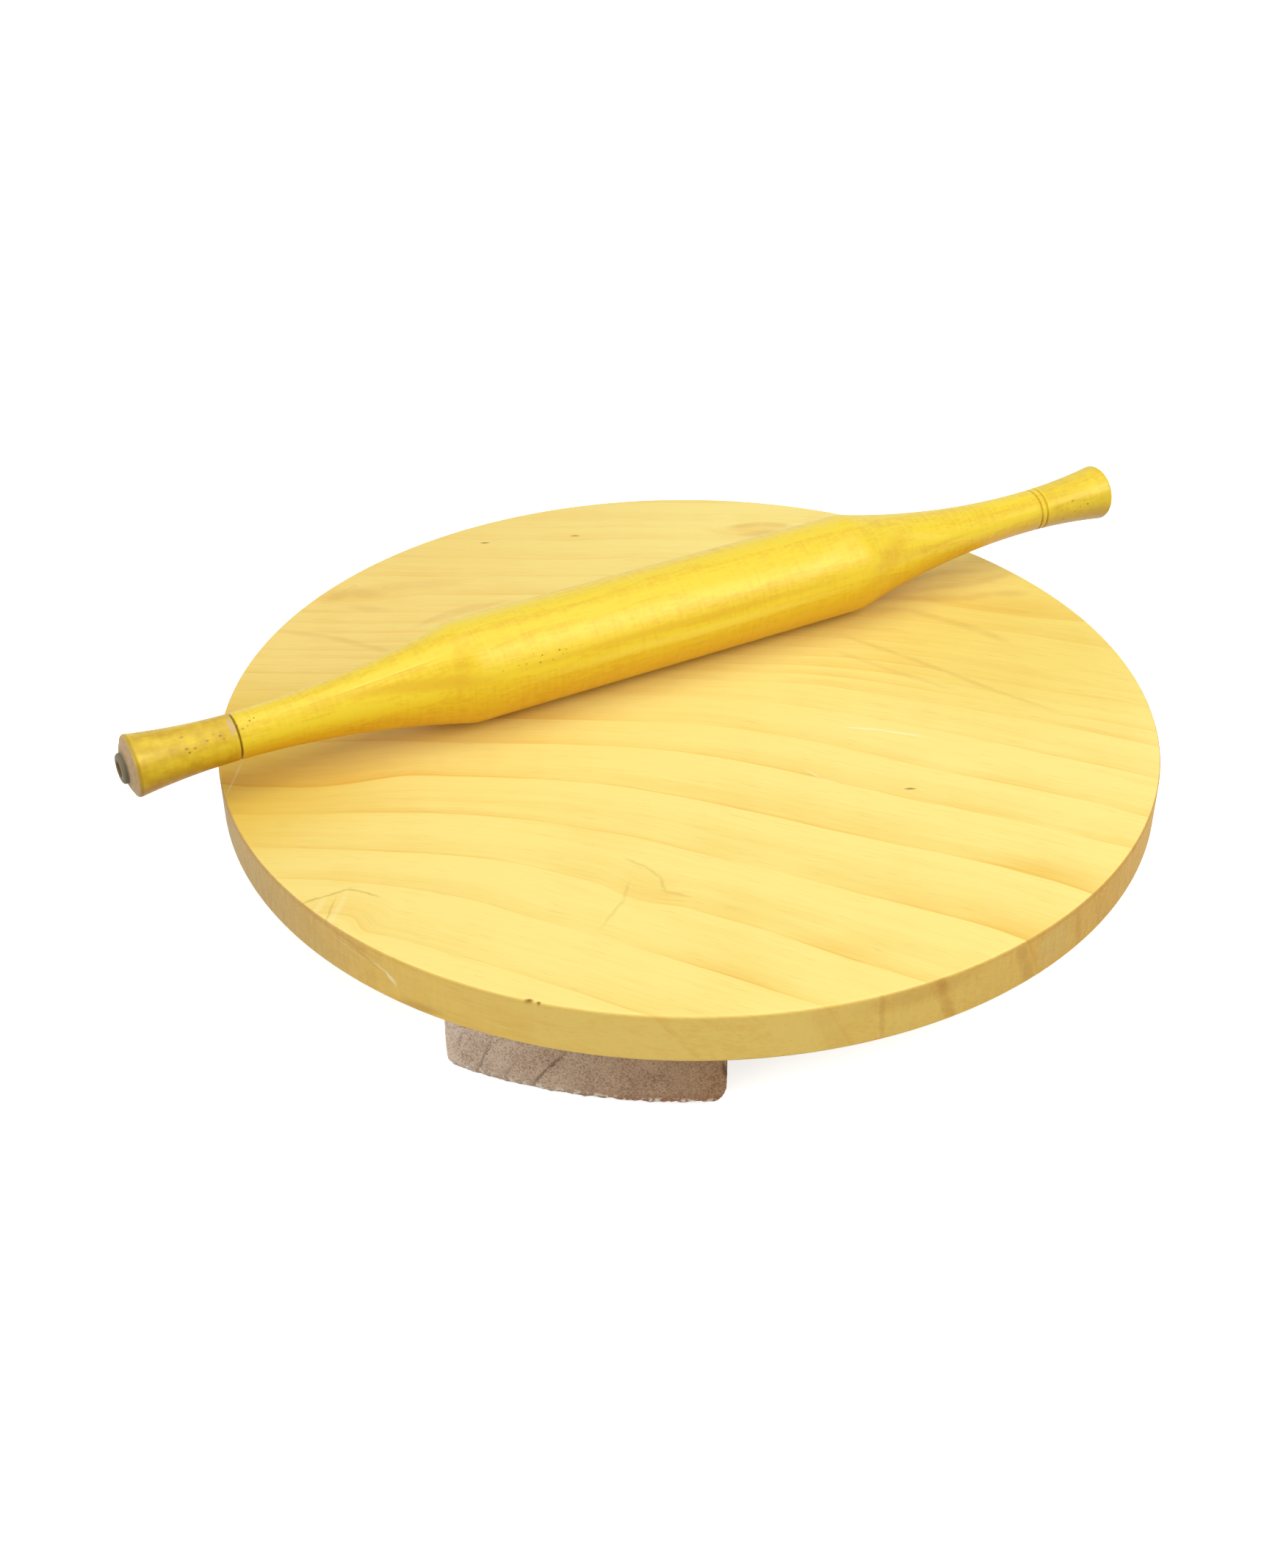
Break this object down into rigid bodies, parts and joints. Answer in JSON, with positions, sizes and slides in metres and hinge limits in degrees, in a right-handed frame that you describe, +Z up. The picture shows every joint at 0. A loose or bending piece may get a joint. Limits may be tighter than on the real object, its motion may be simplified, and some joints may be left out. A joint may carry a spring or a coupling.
{
  "type": "chakla rolling board",
  "caption": "Round wooden rolling board on low sawn feet, with a one-piece turned rolling pin with tapered handles lying across it.",
  "frame": {"origin": "under the centre of the round board, on the plane that the feet stand on", "axes": "+Z up through the board; -Y towards the front of the picture, +X towards its right"},
  "size_m": [0.3021, 0.28, 0.0638],
  "materials": {
    "board_wood": "clear satin lacquer over pale plain-sawn wood",
    "pin_wood": "golden-yellow lacquer, satin gloss, with fine turning marks",
    "foot_wood": "bare, rough sawn end grain",
    "nail_steel": "bare drawn wire, dulled"
  },
  "bodies": {
    "board": {"board": "board_wood", "front_foot": "foot_wood", "rear_right_foot": "foot_wood", "rear_left_foot": "foot_wood", "front_foot_nails": "nail_steel", "rear_right_foot_nails": "nail_steel", "rear_left_foot_nails": "nail_steel"},
    "rolling_pin": {"rolling_pin": "pin_wood"}
  },
  "joints": [
    {"name": "pin_travel", "type": "slide", "parent": "board", "child": "rolling_pin", "axis": [0.509, -0.8607, 0], "range_m": [-0.085, 0.14]}
  ]
}
